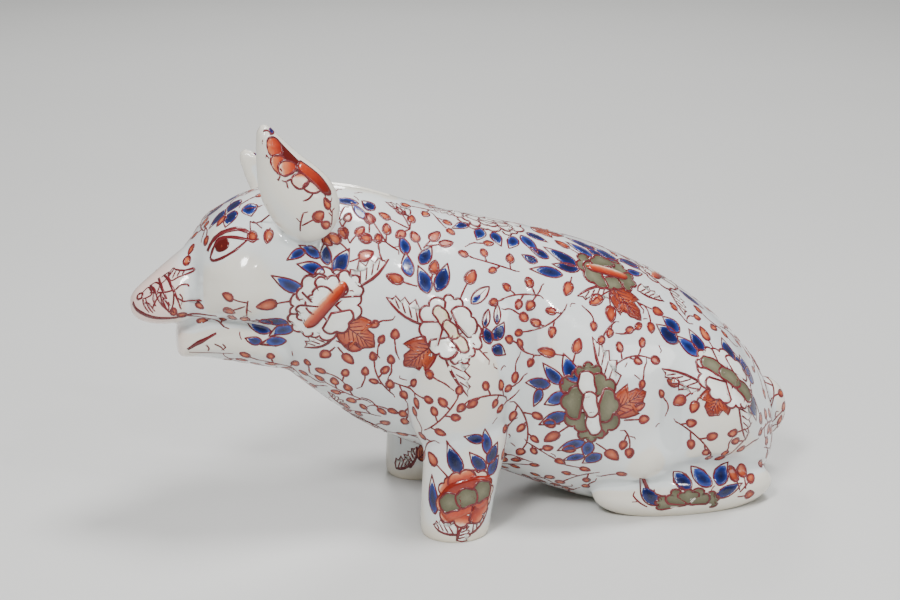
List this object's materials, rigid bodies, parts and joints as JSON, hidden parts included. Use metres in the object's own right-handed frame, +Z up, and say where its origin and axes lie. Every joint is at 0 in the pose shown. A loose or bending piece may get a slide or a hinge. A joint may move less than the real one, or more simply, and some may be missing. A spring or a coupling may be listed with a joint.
{
  "type": "seated pig money bank",
  "caption": "Seated pig money bank in painted glazed porcelain, hollow, with a coin slot along the nape and a cork closing the hole under its hindquarters.",
  "frame": {"origin": "on the ground, under the middle of the bounding box", "axes": "+X from the snout to the tail, the pig facing -X; +Y towards the pig's right side; +Z up"},
  "size_m": [0.2779, 0.103, 0.1706],
  "materials": {
    "glazed_porcelain": "bluish white gloss glaze, painted in iron red, orange, cobalt blue and olive gold",
    "unglazed_porcelain": "unglazed, dry",
    "cork": "natural cork, dry"
  },
  "bodies": {
    "pig": {"body_left_half": "glazed_porcelain", "body_right_half": "glazed_porcelain", "left_ear": "glazed_porcelain", "right_ear": "glazed_porcelain", "left_foreleg": "glazed_porcelain", "right_foreleg": "glazed_porcelain", "tail": "glazed_porcelain", "base_slab": "unglazed_porcelain"},
    "stopper": {"cork_stopper": "cork"}
  },
  "joints": [
    {"name": "stopper_pull", "type": "slide", "parent": "pig", "child": "stopper", "axis": [0, 0, -1], "range_m": [0, 0.025]}
  ]
}
